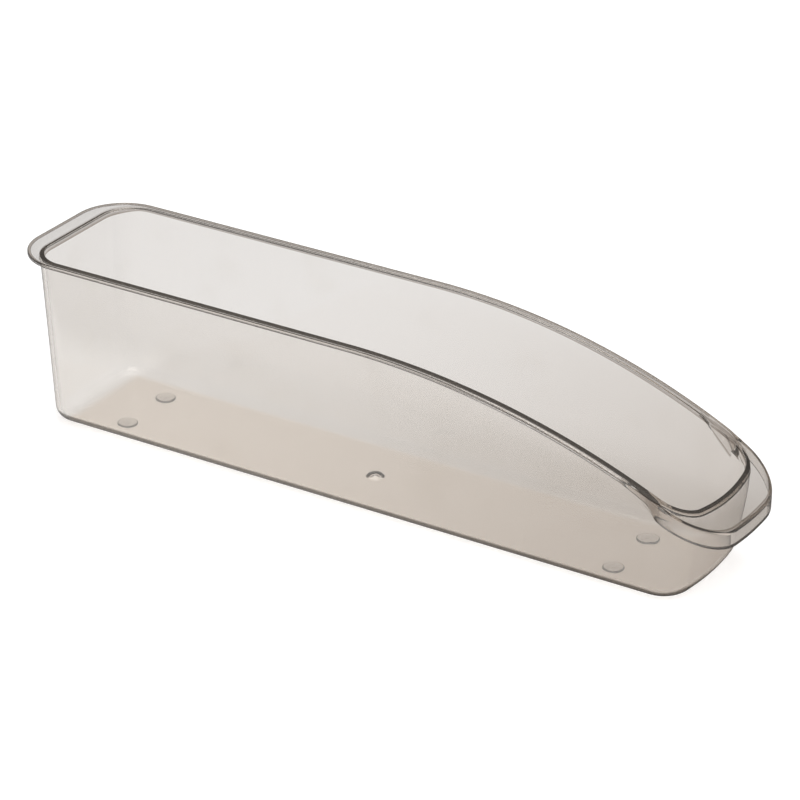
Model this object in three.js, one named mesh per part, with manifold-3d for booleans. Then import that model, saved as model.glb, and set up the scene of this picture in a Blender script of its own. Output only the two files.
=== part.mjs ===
import * as THREE from 'three';
import { mergeVertices } from 'three/addons/utils/BufferGeometryUtils.js';
import Module from 'manifold-3d';

// A narrow clear fridge bin, in millimetres, +Z up, with its pull handle towards -Y.
// One thin-walled moulding (floor, drafted walls, rim flange, handle) stands on four clear feet.
// The origin is under the middle of the outline, on the surface that the feet stand on.

// Outer wall outline at the floor plane
const baseLength = 338.7;
const baseWidth = 65.4;
const baseBackRadius = 12.1;
const baseFrontRadius = 15;
const baseBow = 1.4;
const bottomRadius = 6.8;

// Height from the floor's underside to the level part of the rim
const tubHeight = 86.1;

// How far the outer wall has moved out, and its corners opened, at that height
const sideLean = 6.7;
const backLean = 4.7;
const frontLean = 12.2;
const backRadiusGrowth = 5.8;
const frontRadiusGrowth = 4;
const bowGrowth = 1.6;

// Moulding thicknesses
const wallThickness = 2.2;
const floorThickness = 2.2;
const flangeThickness = 1.5;

// Rim line from the side: level at the back, then one long arc down to the handle
const dipStart = -0.6;
const dipRadius = 360;

// Rim flange: how far it stands out past the wall, and its edge
const sideOverhang = 2.35;
const backOverhang = 8.9;
const rimBackRadius = 25;
const edgeDepth = 1.8;
const edgeThickness = 1.6;
const edgeRound = 0.6;
const handleEdgeRound = 1.5;
const mouthRound = 0.4;

// Pull handle: the flange runs on round the front as a shelf with a skirt
const handleReach = 17.7;
const handleOverhang = 2.2;
const handleCornerRadius = 26;
const handleBow = 0.5;
const skirtDepth = 8;
const skirtRampLength = 6.5;
const skirtRampGap = 7;
const leadDepth = 3;
const leadLength = 11.5;
const shelfDropAtWall = 1;
const shelfDropAtEdge = 0.3;
const stepRun = 0.3;
const stepCurveLength = 4.2;
const shelfPasses = 24;

// Handle root: a round boss and a wedge-shaped gusset on each side, just behind the start of the handle
const bossSetback = 2.4;
const bossDiameter = 4.2;
const bossDrop = 4;
const bossWallGap = 0.2;
const gussetRun = 6.5;
const gussetFall = 3;

// Feet
const footDiameter = 9.8;
const footHeight = 1.2;
const footEdge = 0.4;
const footFlatDiameter = 5.2;
const footMarkDiameter = 1;
const footMarkDepth = 0.3;
const footSideInset = 17;
const footBackInset = 35.7;
const footFrontInset = 40.9;

// Gate dimple in the middle of the floor: domed up inside, hollow underneath
const gateDiameter = 10.5;
const gateRise = 1.9;
const gateOffset = 5;

// Any overrun that lets one solid bite into the next
const bite = 0.5;

// Divisions
const backDivisions = 3;
const backCornerDivisions = 8;
const frontCornerDivisions = 13;
const frontDivisions = 5;
const filletDivisions = 4;
const roundDivisions = 3;
const roundFacets = 28;

// Stations along a side, as shares of its straight length from the back corner forwards
const sideShares = [
  0.13, 0.26, 0.39, 0.52, 0.57, 0.62, 0.67, 0.72, 0.77, 0.82, 0.87, 0.915, 0.955, 0.971, 0.982, 0.991, 1,
];

const wasm = await Module();
wasm.setup();

// The outline's two ends are equally far from the origin.
const backEdge = (baseLength + backLean + backOverhang + handleReach) / 2;
const frontEdge = -backEdge;
const baseBack = backEdge - backLean - backOverhang;
const baseFront = frontEdge + handleReach;

// The handle starts where its corner arcs do.
const handleRoot = frontEdge + handleBow + handleCornerRadius;
const rampStart = handleRoot + skirtRampGap;

// Height of the rim surface above the floor's underside at a place along Y.
function rimHeight(y) {
  const run = Math.max(dipStart - y, 0);
  return tubHeight - dipRadius + Math.sqrt(dipRadius ** 2 - run ** 2);
}

const rimHalfWidth = baseWidth / 2 + sideLean + sideOverhang;
const rootHalfWidth = baseWidth / 2 + (sideLean * rimHeight(handleRoot)) / tubHeight;
const handleHalfWidth = rootHalfWidth + handleOverhang;

// Half of a closed outline, from the middle of the back round the +X side to the middle of the front.
// The back is straight, the corners are arcs, the sides draw in as the rim dips and the front is a shallow bow.
function halfOutline({ backHalf, frontHalf, back, front, backRadius, frontRadius, bow }) {
  const points = [];
  const flatBack = backHalf - backRadius;
  for (let i = 0; i < backDivisions; i += 1) {
    points.push(new THREE.Vector2((flatBack * i) / backDivisions, back));
  }
  for (let i = 0; i <= backCornerDivisions; i += 1) {
    const a = (Math.PI / 2) * (1 - i / backCornerDivisions);
    points.push(new THREE.Vector2(flatBack + backRadius * Math.cos(a), back - backRadius + backRadius * Math.sin(a)));
  }
  const sideBack = back - backRadius;
  const flatFront = frontHalf - frontRadius;
  const bowTurn = Math.atan((2 * bow) / flatFront);
  const bowEnd = flatFront + frontRadius * Math.sin(bowTurn);
  const sideFront = front + bow + frontRadius * Math.cos(bowTurn);
  for (const share of sideShares) {
    const y = THREE.MathUtils.lerp(sideBack, sideFront, share);
    const dip = (tubHeight - rimHeight(y)) / (tubHeight - rimHeight(sideFront));
    points.push(new THREE.Vector2(THREE.MathUtils.lerp(backHalf, frontHalf, dip), y));
  }
  for (let i = 1; i <= frontCornerDivisions; i += 1) {
    const a = ((Math.PI / 2 - bowTurn) * i) / frontCornerDivisions;
    points.push(new THREE.Vector2(flatFront + frontRadius * Math.cos(a), sideFront - frontRadius * Math.sin(a)));
  }
  for (let i = 1; i <= frontDivisions; i += 1) {
    const x = bowEnd * (1 - i / frontDivisions);
    points.push(new THREE.Vector2(x, front + bow * (x / bowEnd) ** 2));
  }
  return points;
}

// The whole outline, anticlockwise seen from above, starting at the middle of the front.
function closedOutline(size) {
  const half = halfOutline(size).reverse();
  const mirrored = half.slice(1, -1).reverse().map((p) => new THREE.Vector2(-p.x, p.y));
  return [...half, ...mirrored];
}

const wallBase = closedOutline({
  backHalf: baseWidth / 2,
  frontHalf: baseWidth / 2,
  back: baseBack,
  front: baseFront,
  backRadius: baseBackRadius,
  frontRadius: baseFrontRadius,
  bow: baseBow,
});
const wallTop = closedOutline({
  backHalf: baseWidth / 2 + sideLean,
  frontHalf: baseWidth / 2 + sideLean,
  back: baseBack + backLean,
  front: baseFront - frontLean,
  backRadius: baseBackRadius + backRadiusGrowth,
  frontRadius: baseFrontRadius + frontRadiusGrowth,
  bow: baseBow + bowGrowth,
});
const rimEdge = closedOutline({
  backHalf: rimHalfWidth,
  frontHalf: handleHalfWidth,
  back: backEdge,
  front: frontEdge,
  backRadius: rimBackRadius,
  frontRadius: handleCornerRadius,
  bow: handleBow,
});
const stations = wallBase.length;

// Outward directions of an outline, one for each of its points.
function outwards(outline) {
  return outline.map((_, k) => {
    const before = outline[(k + outline.length - 1) % outline.length];
    const after = outline[(k + 1) % outline.length];
    const along = after.clone().sub(before).normalize();
    return new THREE.Vector2(along.y, -along.x);
  });
}
const wallOut = outwards(wallTop);
const edgeOut = outwards(rimEdge);

// A place on the wall: station, height above the floor's underside, and how far in from its outer face.
function wallPoint(k, z, inset) {
  const p = wallBase[k].clone().lerp(wallTop[k], z / tubHeight);
  return p.addScaledVector(wallOut[k], -inset);
}

// Where the wall, at the given inset, meets the surface that lies the given drop under the rim's.
function wallAtRim(k, inset, drop) {
  let z = rimHeight(wallBase[k].y) - drop;
  for (let pass = 0; pass < shelfPasses; pass += 1) {
    z = rimHeight(wallPoint(k, z, inset).y) - drop;
  }
  return { p: wallPoint(k, z, inset), z };
}

function smooth(t) {
  const c = THREE.MathUtils.clamp(t, 0, 1);
  return c * c * (3 - 2 * c);
}

// How far down the ramp from flange edge to skirt a place along Y is, from 0 to 1.
function rampShare(y) {
  return smooth((rampStart - y) / skirtRampLength);
}

// How far the edge hangs below the rim surface: a thin flange edge, a lead-in, then the full skirt.
function skirtDepthAt(y) {
  const lead = THREE.MathUtils.clamp((rampStart + leadLength - y) / leadLength, 0, 1);
  const before = THREE.MathUtils.lerp(edgeDepth, leadDepth, lead);
  return THREE.MathUtils.lerp(before, skirtDepth, rampShare(y));
}

// One cross-section of the moulding, from the underside of the floor, out over the rim, to the floor inside.
function section(k) {
  const loop = [];
  const put = (p, z) => loop.push(new THREE.Vector3(p.x, p.y, z));
  const edge = rimEdge[k];
  const out = edgeOut[k];
  const depth = skirtDepthAt(edge.y);
  const round = THREE.MathUtils.lerp(edgeRound, handleEdgeRound, rampShare(edge.y));
  const onHandle = edge.y < handleRoot;
  const edgeDrop = onHandle ? shelfDropAtEdge : 0;
  const wallDrop = onHandle ? shelfDropAtWall : 0;

  for (let i = 0; i <= filletDivisions; i += 1) {
    const a = ((Math.PI / 2) * i) / filletDivisions;
    const z = bottomRadius * (1 - Math.cos(a));
    put(wallPoint(k, z, bottomRadius * (1 - Math.sin(a))), z);
  }
  const under = wallAtRim(k, 0, wallDrop + flangeThickness);
  put(under.p, under.z);

  const inner = edge.clone().addScaledVector(out, -edgeThickness);
  put(inner, rimHeight(inner.y) - edgeDrop - flangeThickness);
  put(inner, rimHeight(inner.y) - edgeDrop - depth);
  put(edge, rimHeight(edge.y) - edgeDrop - depth);
  for (let i = 0; i <= roundDivisions; i += 1) {
    const a = ((Math.PI / 2) * i) / roundDivisions;
    const p = edge.clone().addScaledVector(out, -round * (1 - Math.cos(a)));
    put(p, rimHeight(p.y) - edgeDrop - round * (1 - Math.sin(a)));
  }

  const crest = edge.clone().addScaledVector(out, -round);
  const wallOuter = wallAtRim(k, 0, 0);
  const reach = onHandle ? 1 - smooth((handleRoot - edge.y) / stepCurveLength) : 1;
  const direction = crest.clone().sub(wallOuter.p);
  const stepRoom = Math.max(direction.length() - stepRun, 0);
  direction.normalize();
  const foot = wallOuter.p.clone().addScaledVector(direction, stepRoom * reach);
  const footDrop = THREE.MathUtils.lerp(wallDrop, edgeDrop, reach);
  put(foot, rimHeight(foot.y) - footDrop);
  const top = foot.clone().addScaledVector(direction, -stepRun);
  put(top, rimHeight(top.y));

  const mouth = wallAtRim(k, wallThickness, 0);
  for (let i = 0; i <= roundDivisions; i += 1) {
    const a = ((Math.PI / 2) * i) / roundDivisions;
    const z = mouth.z - mouthRound * (1 - Math.cos(a));
    put(wallPoint(k, z, wallThickness - mouthRound * (1 - Math.sin(a))), z);
  }
  const innerRadius = bottomRadius - wallThickness;
  for (let i = 0; i <= filletDivisions; i += 1) {
    const a = (Math.PI / 2) * (1 - i / filletDivisions);
    const z = floorThickness + innerRadius * (1 - Math.cos(a));
    put(wallPoint(k, z, wallThickness + innerRadius * (1 - Math.sin(a))), z);
  }
  return loop;
}

// A closed body from cross-sections that run round a loop, with a flat lid over each open end.
function closedLoft(sections) {
  const rows = sections[0].length;
  const positions = sections.flat().flatMap((v) => [v.x, v.y, v.z]);
  const index = [];
  const at = (k, i) => (k % sections.length) * rows + i;
  for (let k = 0; k < sections.length; k += 1) {
    for (let i = 0; i < rows - 1; i += 1) {
      index.push(at(k, i), at(k + 1, i), at(k, i + 1));
      index.push(at(k + 1, i), at(k + 1, i + 1), at(k, i + 1));
    }
  }
  for (const [row, upward] of [[0, false], [rows - 1, true]]) {
    const ring = sections.map((loop) => new THREE.Vector2(loop[row].x, loop[row].y));
    for (const [a, b, c] of THREE.ShapeUtils.triangulateShape(ring, [])) {
      index.push(at(a, row), upward ? at(b, row) : at(c, row), upward ? at(c, row) : at(b, row));
    }
  }
  const geometry = new THREE.BufferGeometry();
  geometry.setAttribute('position', new THREE.Float32BufferAttribute(positions, 3));
  geometry.setIndex(index);
  return geometry;
}

function toSolid(geometry) {
  const bare = geometry.clone();
  bare.deleteAttribute('normal');
  bare.deleteAttribute('uv');
  const merged = mergeVertices(bare);
  return new wasm.Manifold(new wasm.Mesh({
    numProp: 3,
    vertProperties: new Float32Array(merged.attributes.position.array),
    triVerts: new Uint32Array(merged.index.array),
  }));
}

function toGeometry(solid) {
  const mesh = solid.getMesh();
  const geometry = new THREE.BufferGeometry();
  geometry.setAttribute('position', new THREE.BufferAttribute(mesh.vertProperties, 3));
  geometry.setIndex(new THREE.BufferAttribute(mesh.triVerts, 1));
  geometry.computeVertexNormals();
  return geometry;
}

// A round cap standing on a short plug: the plug bites into what the cap sits on.
function capGeometry(diameter, rise, plug) {
  const radius = diameter / 2;
  const ball = (radius ** 2 + rise ** 2) / (2 * rise);
  const profile = [new THREE.Vector2(0, -plug), new THREE.Vector2(radius, -plug)];
  const spread = Math.asin(radius / ball);
  for (let i = 0; i <= roundDivisions; i += 1) {
    const a = spread * (1 - i / roundDivisions);
    profile.push(new THREE.Vector2(ball * Math.sin(a), ball * Math.cos(a) - ball + rise));
  }
  return new THREE.LatheGeometry(profile, roundFacets).rotateX(Math.PI / 2);
}

// Where the wall's outer face stands on the +X side, at a place along Y and a height.
function wallFaceX(y, z) {
  for (let k = 0; k < stations; k += 1) {
    const near = wallPoint(k, z, 0);
    const far = wallPoint((k + 1) % stations, z, 0);
    if (near.x > 0 && near.y <= y && y < far.y) {
      return THREE.MathUtils.lerp(near.x, far.x, (y - near.y) / (far.y - near.y));
    }
  }
  return rootHalfWidth;
}

// Half way through the flange at the wall, both behind the handle and on its shelf.
function flangeCore(y) {
  return rimHeight(y) - (shelfDropAtWall + flangeThickness) / 2;
}

// The boss under the flange at the root of the handle, on the side given by the sign.
function bossSolid(side) {
  const radius = bossDiameter / 2;
  const y = handleRoot + bossSetback;
  const top = flangeCore(y);
  const bottom = rimHeight(y) - flangeThickness - bossDrop;
  const boss = new THREE.CylinderGeometry(radius, radius, top - bottom, roundFacets);
  boss.rotateX(Math.PI / 2);
  boss.translate(side * (wallFaceX(y, bottom) + bossWallGap), y, (top + bottom) / 2);
  return toSolid(boss);
}

// The gusset fills the corner of wall, flange and skirt; its underside slopes down to a point on the wall.
function gussetSolid(side) {
  const root = handleRoot + bossSetback;
  const tip = root - gussetRun;
  const rootZ = rimHeight(root) - skirtDepthAt(root);
  const tipZ = rootZ - gussetFall;
  const skirtX = handleHalfWidth - edgeThickness / 2;

  const plan = new THREE.Shape();
  plan.moveTo(side * (wallFaceX(root, rootZ) - bite), root);
  plan.lineTo(side * skirtX, root);
  plan.lineTo(side * wallFaceX(tip, tipZ), tip);
  plan.lineTo(side * (wallFaceX(tip, tipZ) - bite), tip);
  const column = new THREE.ExtrudeGeometry(plan, { depth: tubHeight, bevelEnabled: false });

  const profile = new THREE.Shape();
  profile.moveTo(root, rootZ);
  profile.lineTo(root, flangeCore(root));
  profile.lineTo(tip, flangeCore(tip));
  profile.lineTo(tip, tipZ);
  const slab = new THREE.ExtrudeGeometry(profile, { depth: baseWidth, bevelEnabled: false });
  slab.rotateY(Math.PI / 2).rotateX(Math.PI / 2);
  slab.translate(side > 0 ? 0 : -baseWidth, 0, 0);
  return toSolid(column).intersect(toSolid(slab));
}

function tubGeometry() {
  const sections = Array.from({ length: stations }, (_, k) => section(k));
  let tub = toSolid(closedLoft(sections));
  for (const side of [-1, 1]) {
    tub = tub.add(bossSolid(side)).add(gussetSolid(side));
  }
  const gateY = (baseBack + baseFront) / 2 + gateOffset;
  const dome = capGeometry(gateDiameter, gateRise, floorThickness - gateRise).translate(0, gateY, floorThickness);
  const hollow = capGeometry(gateDiameter - floorThickness, gateRise, bite).translate(0, gateY, 0);
  return toGeometry(tub.add(toSolid(dome)).subtract(toSolid(hollow)));
}

// A low domed foot with a flat sole and a small round mark in its middle.
function footGeometry() {
  const radius = footDiameter / 2;
  const flat = footFlatDiameter / 2;
  const profile = [new THREE.Vector2(0, footMarkDepth), new THREE.Vector2(footMarkDiameter / 2, footMarkDepth)];
  profile.push(new THREE.Vector2(footMarkDiameter / 2, 0));
  const rise = footHeight - footEdge;
  for (let i = 0; i <= filletDivisions; i += 1) {
    const a = ((Math.PI / 2) * i) / filletDivisions;
    profile.push(new THREE.Vector2(flat + (radius - flat) * Math.sin(a), rise * (1 - Math.cos(a))));
  }
  profile.push(new THREE.Vector2(radius, footHeight), new THREE.Vector2(0, footHeight));
  return new THREE.LatheGeometry(profile, roundFacets).rotateX(Math.PI / 2);
}

const tintedClear = { color: 0xb8aea5, roughness: 0.06, metalness: 0, transparent: true, opacity: 0.5 };
const footClear = { color: 0xc9cdcc, roughness: 0.25, metalness: 0, transparent: true, opacity: 0.7 };

const group = new THREE.Group();

const tub = new THREE.Mesh(tubGeometry(), new THREE.MeshStandardMaterial(tintedClear));
tub.name = 'tub';
tub.position.z = footHeight;
group.add(tub);

const footX = baseWidth / 2 - footSideInset;
const footPlaces = {
  foot_back_left: [-footX, baseBack - footBackInset],
  foot_back_right: [footX, baseBack - footBackInset],
  foot_front_left: [-footX, baseFront + footFrontInset],
  foot_front_right: [footX, baseFront + footFrontInset],
};
for (const [name, [x, y]] of Object.entries(footPlaces)) {
  const foot = new THREE.Mesh(footGeometry(), new THREE.MeshStandardMaterial(footClear));
  foot.name = name;
  foot.position.set(x, y, 0);
  group.add(foot);
}

export default group;
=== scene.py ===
"""A narrow clear fridge bin on four small feet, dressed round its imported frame."""

import math

import bpy
import numpy as np
from bpy.props import FloatProperty, FloatVectorProperty, IntProperty, PointerProperty
from mathutils import Matrix, Vector


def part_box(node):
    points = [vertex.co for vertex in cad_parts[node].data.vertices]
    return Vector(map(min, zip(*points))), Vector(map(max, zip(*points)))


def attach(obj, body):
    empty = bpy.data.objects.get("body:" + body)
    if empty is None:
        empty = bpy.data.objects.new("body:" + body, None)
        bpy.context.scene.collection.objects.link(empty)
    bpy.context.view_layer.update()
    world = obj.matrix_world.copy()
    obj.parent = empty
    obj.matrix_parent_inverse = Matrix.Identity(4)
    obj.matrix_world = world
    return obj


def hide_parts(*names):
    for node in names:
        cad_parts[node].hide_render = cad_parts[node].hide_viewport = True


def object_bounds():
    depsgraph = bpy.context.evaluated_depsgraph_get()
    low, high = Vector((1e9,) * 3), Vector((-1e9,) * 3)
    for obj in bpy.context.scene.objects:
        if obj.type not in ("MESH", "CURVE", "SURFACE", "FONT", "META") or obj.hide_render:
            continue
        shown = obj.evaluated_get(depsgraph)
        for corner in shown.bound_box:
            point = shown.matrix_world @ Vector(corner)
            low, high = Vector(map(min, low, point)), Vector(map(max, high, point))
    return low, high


bl_info = {
    "name": "Clear Fridge Bin",
    "version": (1, 0, 0),
    "blender": (4, 5, 0),
    "location": "3D View > Sidebar > Fridge Bin",
    "description": "Builds a narrow clear fridge bin with a pull handle on four feet",
    "category": "Object",
}

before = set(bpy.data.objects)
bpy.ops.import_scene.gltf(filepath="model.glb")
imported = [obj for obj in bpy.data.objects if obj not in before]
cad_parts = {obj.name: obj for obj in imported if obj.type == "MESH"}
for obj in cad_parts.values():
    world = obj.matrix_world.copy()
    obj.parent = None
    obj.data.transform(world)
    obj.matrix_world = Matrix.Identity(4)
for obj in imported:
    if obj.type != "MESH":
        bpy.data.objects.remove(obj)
CAD_LOW, CAD_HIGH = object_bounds()
BODY = "root"
FEET = ("foot_back_left", "foot_back_right", "foot_front_left", "foot_front_right")


def length(name, default, description):
    """A length property in metres."""
    return FloatProperty(
        name=name, default=default, description=description, unit="LENGTH", precision=5
    )


def fraction(name, default, description):
    """A property between 0 and 1."""
    return FloatProperty(
        name=name, default=default, description=description, subtype="FACTOR", min=0, max=1
    )


def strength(name, default, description):
    """A property for the strength of a light or tint, 0 or more."""
    return FloatProperty(name=name, default=default, description=description, min=0)


def colour(name, default, description):
    """A colour property."""
    return FloatVectorProperty(
        name=name,
        default=default,
        description=description,
        subtype="COLOR",
        size=len(default),
        min=0,
        max=1,
    )


class BinSizes(bpy.types.PropertyGroup):
    """The moulding's driving sizes, in metres."""

    base_width: length("Base width", 0.0654, "Outer width at the floor")
    base_back_radius: length("Base back corners", 0.0121, "Corner radius at the floor, back")
    base_front_radius: length("Base front corners", 0.015, "Corner radius at the floor, front")
    base_bow: length("Base bow", 0.0014, "How far the front bows out at the floor")
    bottom_radius: length("Bottom rounding", 0.0068, "Rounding from floor to wall, outside")
    tub_height: length("Tub height", 0.0861, "Floor's underside to the level rim")
    foot_height: length("Foot height", 0.0012, "How far the feet lift the tub")
    side_lean: length("Side lean", 0.0067, "How far each side leans out by the rim")
    back_lean: length("Back lean", 0.0047, "How far the back leans out by the rim")
    front_lean: length("Front lean", 0.0122, "How far the front would lean out by the rim")
    back_radius_growth: length("Back corner growth", 0.0058, "Added corner radius by the rim")
    front_radius_growth: length("Front corner growth", 0.004, "Added corner radius by the rim")
    bow_growth: length("Bow growth", 0.0016, "Added bow by the rim")
    front_draw_in: length("Front draw-in", 0.0016, "How far each rim draws in by the front")
    wall: length("Wall", 0.0022, "Wall thickness")
    floor: length("Floor", 0.0022, "Floor thickness")
    flange: length("Flange", 0.0015, "Rim flange thickness")
    dip_start: length("Dip start", -0.0006, "Where the rim starts to fall, along Y")
    dip_radius: length("Dip radius", 0.366, "Radius of the falling rim line")
    side_overhang: length("Side overhang", 0.00235, "Flange past the wall at the sides")
    back_overhang: length("Back overhang", 0.0089, "Flange past the wall at the back")
    rim_back_radius: length("Rim back corners", 0.025, "Corner radius of the flange, back")
    edge_depth: length("Edge depth", 0.0018, "How far the flange's edge hangs")
    edge_thickness: length("Edge thickness", 0.0016, "Thickness of edge and skirt")
    edge_round: length("Edge rounding", 0.0005, "Rounding along the flange's edge")
    handle_edge_round: length("Handle rounding", 0.0015, "Rounding from shelf to skirt")
    edge_foot_round: length("Lower edge rounding", 0.00015, "Rounding under edge and skirt")
    mouth_round: length("Mouth rounding", 0.00035, "Rounding from rim to inner wall")
    root_round: length("Flange root rounding", 0.0004, "Fillet of wall and flange, below")
    handle_reach: length("Handle reach", 0.0177, "Handle past the floor's front")
    handle_overhang: length("Handle overhang", 0.0022, "Handle past the wall at its root")
    handle_corner_radius: length("Handle corners", 0.026, "Corner radius of the handle")
    handle_bow: length("Handle bow", 0.0005, "How far the handle's front bows out")
    skirt_depth: length("Skirt depth", 0.008, "How far the handle's skirt hangs")
    skirt_ramp_length: length("Skirt ramp", 0.0065, "Length of the ramp into the skirt")
    skirt_ramp_gap: length("Skirt ramp start", 0.007, "Ramp start behind the handle root")
    lead_depth: length("Lead-in depth", 0.003, "Edge depth where the ramp starts")
    lead_length: length("Lead-in length", 0.0115, "Length of the lead-in")
    shelf_drop_at_wall: length("Shelf drop at wall", 0.001, "Rim standing above the shelf")
    shelf_drop_at_edge: length("Shelf drop at edge", 0.0003, "The same at the handle's edge")
    step_run: length("Step run", 0.0003, "Slope of the step beside the rim")
    step_curve_length: length("Step sweep", 0.0042, "Where the step crosses the rim")
    boss_setback: length("Boss setback", 0.0024, "Boss behind the handle root")
    boss_diameter: length("Boss diameter", 0.0042, "Round boss under the flange")
    boss_drop: length("Boss drop", 0.004, "Boss below the flange")
    gusset_run: length("Gusset run", 0.0065, "Gusset length along the wall")
    gusset_fall: length("Gusset fall", 0.003, "Gusset's fall to its point")
    web_lead: length("Web lead", 0.0125, "Web start behind the skirt's ramp")
    web_depth: length("Web depth", 0.0105, "Web below the rim at its deep end")
    # Painted shade: the two web darkenings below are painted into the plastic's colour
    web_side_painted_shade: fraction("Web dark", 0.47, "Darkening of the skirt beside the web")
    web_painted_shade: fraction("Web tone", 0.25, "Darkening of the web's underside")
    gate_diameter: length("Gate dimple", 0.0105, "Domed gate mark in the floor")
    gate_rise: length("Gate rise", 0.0019, "Height of the dome")
    gate_offset: length("Gate offset", 0.005, "Gate ahead of the floor's middle")
    foot_diameter: length("Foot diameter", 0.0098, "Clear round foot")
    foot_flat: length("Foot sole", 0.0052, "Flat sole of a foot")
    foot_mark: length("Foot mark", 0.001, "Round mark in a foot's middle")
    foot_mark_depth: length("Foot mark depth", 0.0003, "Depth of that mark")
    foot_seat_gap: length("Foot seat gap", 0.00002, "Film between foot and floor")
    # Painted shade: the darkenings below, with the band's added depth at the back and the fade,
    # paint dark lines and bands into the plastic's colour along edges, mouth, crest, skirt and
    # bottom rounding
    flange_painted_shade: fraction("Flange dark", 0.06, "Darkening of the flange")
    edge_painted_shade: fraction("Edge dark", 0.88, "Darkening of rounded edges and of the mouth's band")
    crest_painted_shade: fraction("Crest dark", 0.5, "Darkening of the wall's top")
    skirt_painted_shade: fraction("Skirt dark", 0.32, "Darkening of the skirt at the handle root")
    back_band: length("Back band", 0.0011, "How much deeper the mouth's dark band is at the back")
    back_painted_shade: fraction("Back dark", 1.0, "Darkening of that band at the back")
    fade: length("Fade", 0.0002, "Length over which a darkening ends")
    band: length("Band", 0.012, "Wall height below the rim that has its own faces")
    fillet_painted_shade: fraction("Fillet dark", 1.0, "Darkening of the bottom rounding at a slant")
    side_stations: IntProperty(name="Side stations", default=128, description="Along a side")
    corner_stations: IntProperty(name="Corner stations", default=30, description="Per corner")


class BinLooks(bpy.types.PropertyGroup):
    """Colours and strengths of plastic and stage."""

    tint: colour("Tint", (0.7, 0.62, 0.53), "What the plastic keeps of white light")
    tint_density: strength("Tint density", 100.0, "Strength of the tint, per metre")
    foot_tint: colour("Foot tint", (0.3, 0.32, 0.33), "The same for the feet")
    foot_density: strength("Foot density", 140.0, "Strength of the feet's tint, per metre")
    # Painted shade: the three colours below are painted into the plastic's colour on thick edges,
    # on roundings seen at a slant and on faces seen end-on
    edge_shade_colour: colour("Edge tint", (0.15, 0.112, 0.08), "What thick edges keep of white light")
    slant_shade_colour: colour("Slant tint", (0.09, 0.086, 0.08), "What roundings seen at a slant keep")
    outline_shade_colour: colour("Outline tint", (0.08, 0.075, 0.07), "What faces seen end-on keep")
    shadow_tint: colour("Shadow tint", (0.965, 0.96, 0.955), "Light through a face of a wall")
    floor_colour: colour("Floor colour", (0.86, 0.86, 0.86), "The plain floor")
    floor_glow: strength("Floor glow", 0.32, "Lifts the floor to white")
    backdrop: colour("Backdrop", (1.0, 1.0, 1.0), "What the camera sees behind")
    # Painted light and shade on the table seen in and through the plastic: a painted reflection in
    # gloss, a painted warm shadow under the tub, painted shade beside it and towards the handle's
    # end, near white behind it
    reflection_back: colour("Table gloss, back", (0.38, 0.38, 0.38), "Table mirrored by the plastic")
    reflection_front: colour("Table gloss, front", (0.12, 0.11, 0.1), "The same, handle end")
    shadow_under_back: colour("Table under, back", (0.86, 0.79, 0.72), "Table seen through the tub")
    shadow_under_front: colour("Table under, front", (0.56, 0.495, 0.44), "The same, handle end")
    beyond_back: colour("Table beyond, back", (0.83, 0.82, 0.815), "Table seen past the tub")
    beyond_front: colour("Table beyond, front", (0.6, 0.56, 0.525), "The same, handle end")
    behind: colour("Table behind", (0.97, 0.965, 0.96), "Table seen behind the tub")
    shade_beside_back: colour("Table beside, back", (0.8, 0.79, 0.78), "Table close beside the tub")
    shade_beside_front: colour("Table beside, front", (0.46, 0.415, 0.375), "The same, handle end")
    table_share: fraction("Table share", 0.95, "How much the table's tones outweigh the shadow")
    fill_light: strength("Fill", 0.75, "Even light all round")
    sweep: strength("Sweep", 0.95, "Backdrop seen through the plastic")
    room: strength("Room", 0.18, "Dim room seen through the plastic")
    gloss_room: colour("Gloss room", (0.28, 0.245, 0.21), "Room mirrored by the plastic")
    ceiling: strength("Ceiling", 0.6, "Soft light overhead seen through the plastic")


# Named numbers of pieces, materials and stage, lengths in metres

# Names of the attributes of painted shade: dark lines painted on edges and bands, and painted
# shade on roundings seen at a slant
DARK, SLANT = "edge_painted_shade", "slant_painted_shade"
ARC = np.linspace(0, np.pi / 2, 9)
SHORT_ARC = np.linspace(0, np.pi / 2, 5)
RIM_STEPS = 24
# The first wall row above the outer and the inner fillet, in fillet radii
ABOVE_OUTER_FILLET, ABOVE_INNER_FILLET = 1.15, 1.2
FLANGE_ROWS = (0.97, 0.9, 0.5, 0.06)
FLOOR_RINGS = (0.02, 0.06, 0.3, 0.6, 0.85, 1)
# Reach of the flat circle round the gate dimple and of the dimple's rings, in dimple radii
CIRCLE_REACH, DIMPLE_RINGS = 1.3, np.linspace(1.12, 0.06, 16)
BOSS_SEGMENTS, BOSS_CLEARANCE = 40, 0.0002
# How deep gusset and web reach into the wall, so that they join it
GUSSET_BITE, WEB_BITE = 0.0005, 0.0004
WEB_SECTIONS = 24
FOOT_CURL = 0.00015
# Edges sharper than this many degrees stay sharp
TUB_CREASE, FOOT_CREASE = 32, 40

TUB_MARKS = {"Base Roughness": 0.02, "Smear Roughness": 0.07, "Smear Scale": 38.0}
FOOT_MARKS = {
    "Base Roughness": 0.04,
    "Smear Roughness": 0.1,
    "Smear Scale": 400.0,
    "Swell Scale": 200.0,
}
TUB_RELIEF, FOOT_RELIEF = 0.000025, 0.00002
SMEAR_ROUGHENS, SMEAR_SHOWS, SWELL_SHARE = (0.52, 0.78), (0.5, 0.8), 0.93
SMEAR_KEEPS = (0.972, 0.968, 0.96)
CLEARNESS, REFRACTION = 0.965, 1.5
# From where to where a face that turns away takes the painted shade of a face seen end-on, or of a
# rounding seen at a slant
END_ON, SLANTED = (0.78, 0.9), (0.36, 0.5)

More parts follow.
